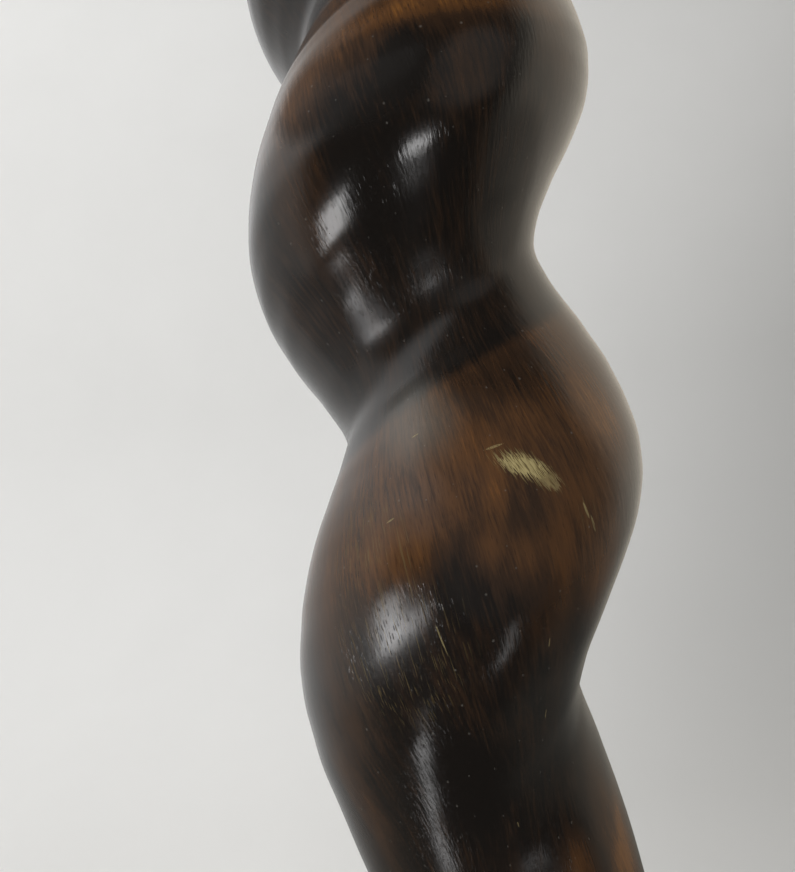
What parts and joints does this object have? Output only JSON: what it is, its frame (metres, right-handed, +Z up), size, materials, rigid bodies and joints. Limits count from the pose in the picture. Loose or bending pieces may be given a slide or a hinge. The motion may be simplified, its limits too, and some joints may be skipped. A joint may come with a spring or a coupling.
{
  "type": "muddler",
  "caption": "Bar muddler with a carved barley-twist wooden grip, a round palm knob, a brass ferrule and a screw-off wooden head with a flat crushing face.",
  "frame": {"origin": "centre of the flat crushing face that the muddler stands on", "axes": "+Z up the axis from the crushing face to the palm knob; +X and +Y across it"},
  "size_m": [0.047, 0.047, 0.3032],
  "materials": {
    "varnished_wood": "dark walnut stain under worn gloss varnish",
    "plain_wood": "oiled, unvarnished",
    "aged_brass": "aged, softly polished",
    "stud_steel": "plain turned",
    "seal_rubber": "matte"
  },
  "bodies": {
    "handle": {"twist_handle": "varnished_wood", "palm_knob": "varnished_wood", "knob_dowel": "plain_wood", "ferrule": "aged_brass", "ferrule_pins": "aged_brass", "threaded_insert": "aged_brass"},
    "seal": {"head_seal": "seal_rubber"},
    "head": {"muddling_head": "plain_wood", "head_stud": "stud_steel"}
  },
  "joints": [
    {"name": "head_travel", "type": "slide", "parent": "handle", "child": "seal", "axis": [0, 0, -1], "range_m": [0, 0.015]},
    {"name": "head_turn", "type": "hinge", "parent": "seal", "child": "head", "pos_m": [0, 0, 0.062], "axis": [0, 0, -1], "range_deg": [0, 4320]}
  ],
  "couplings": [
    {"joint": "head_travel", "follows": "head_turn", "m_per_rad": 0.00019894}
  ]
}
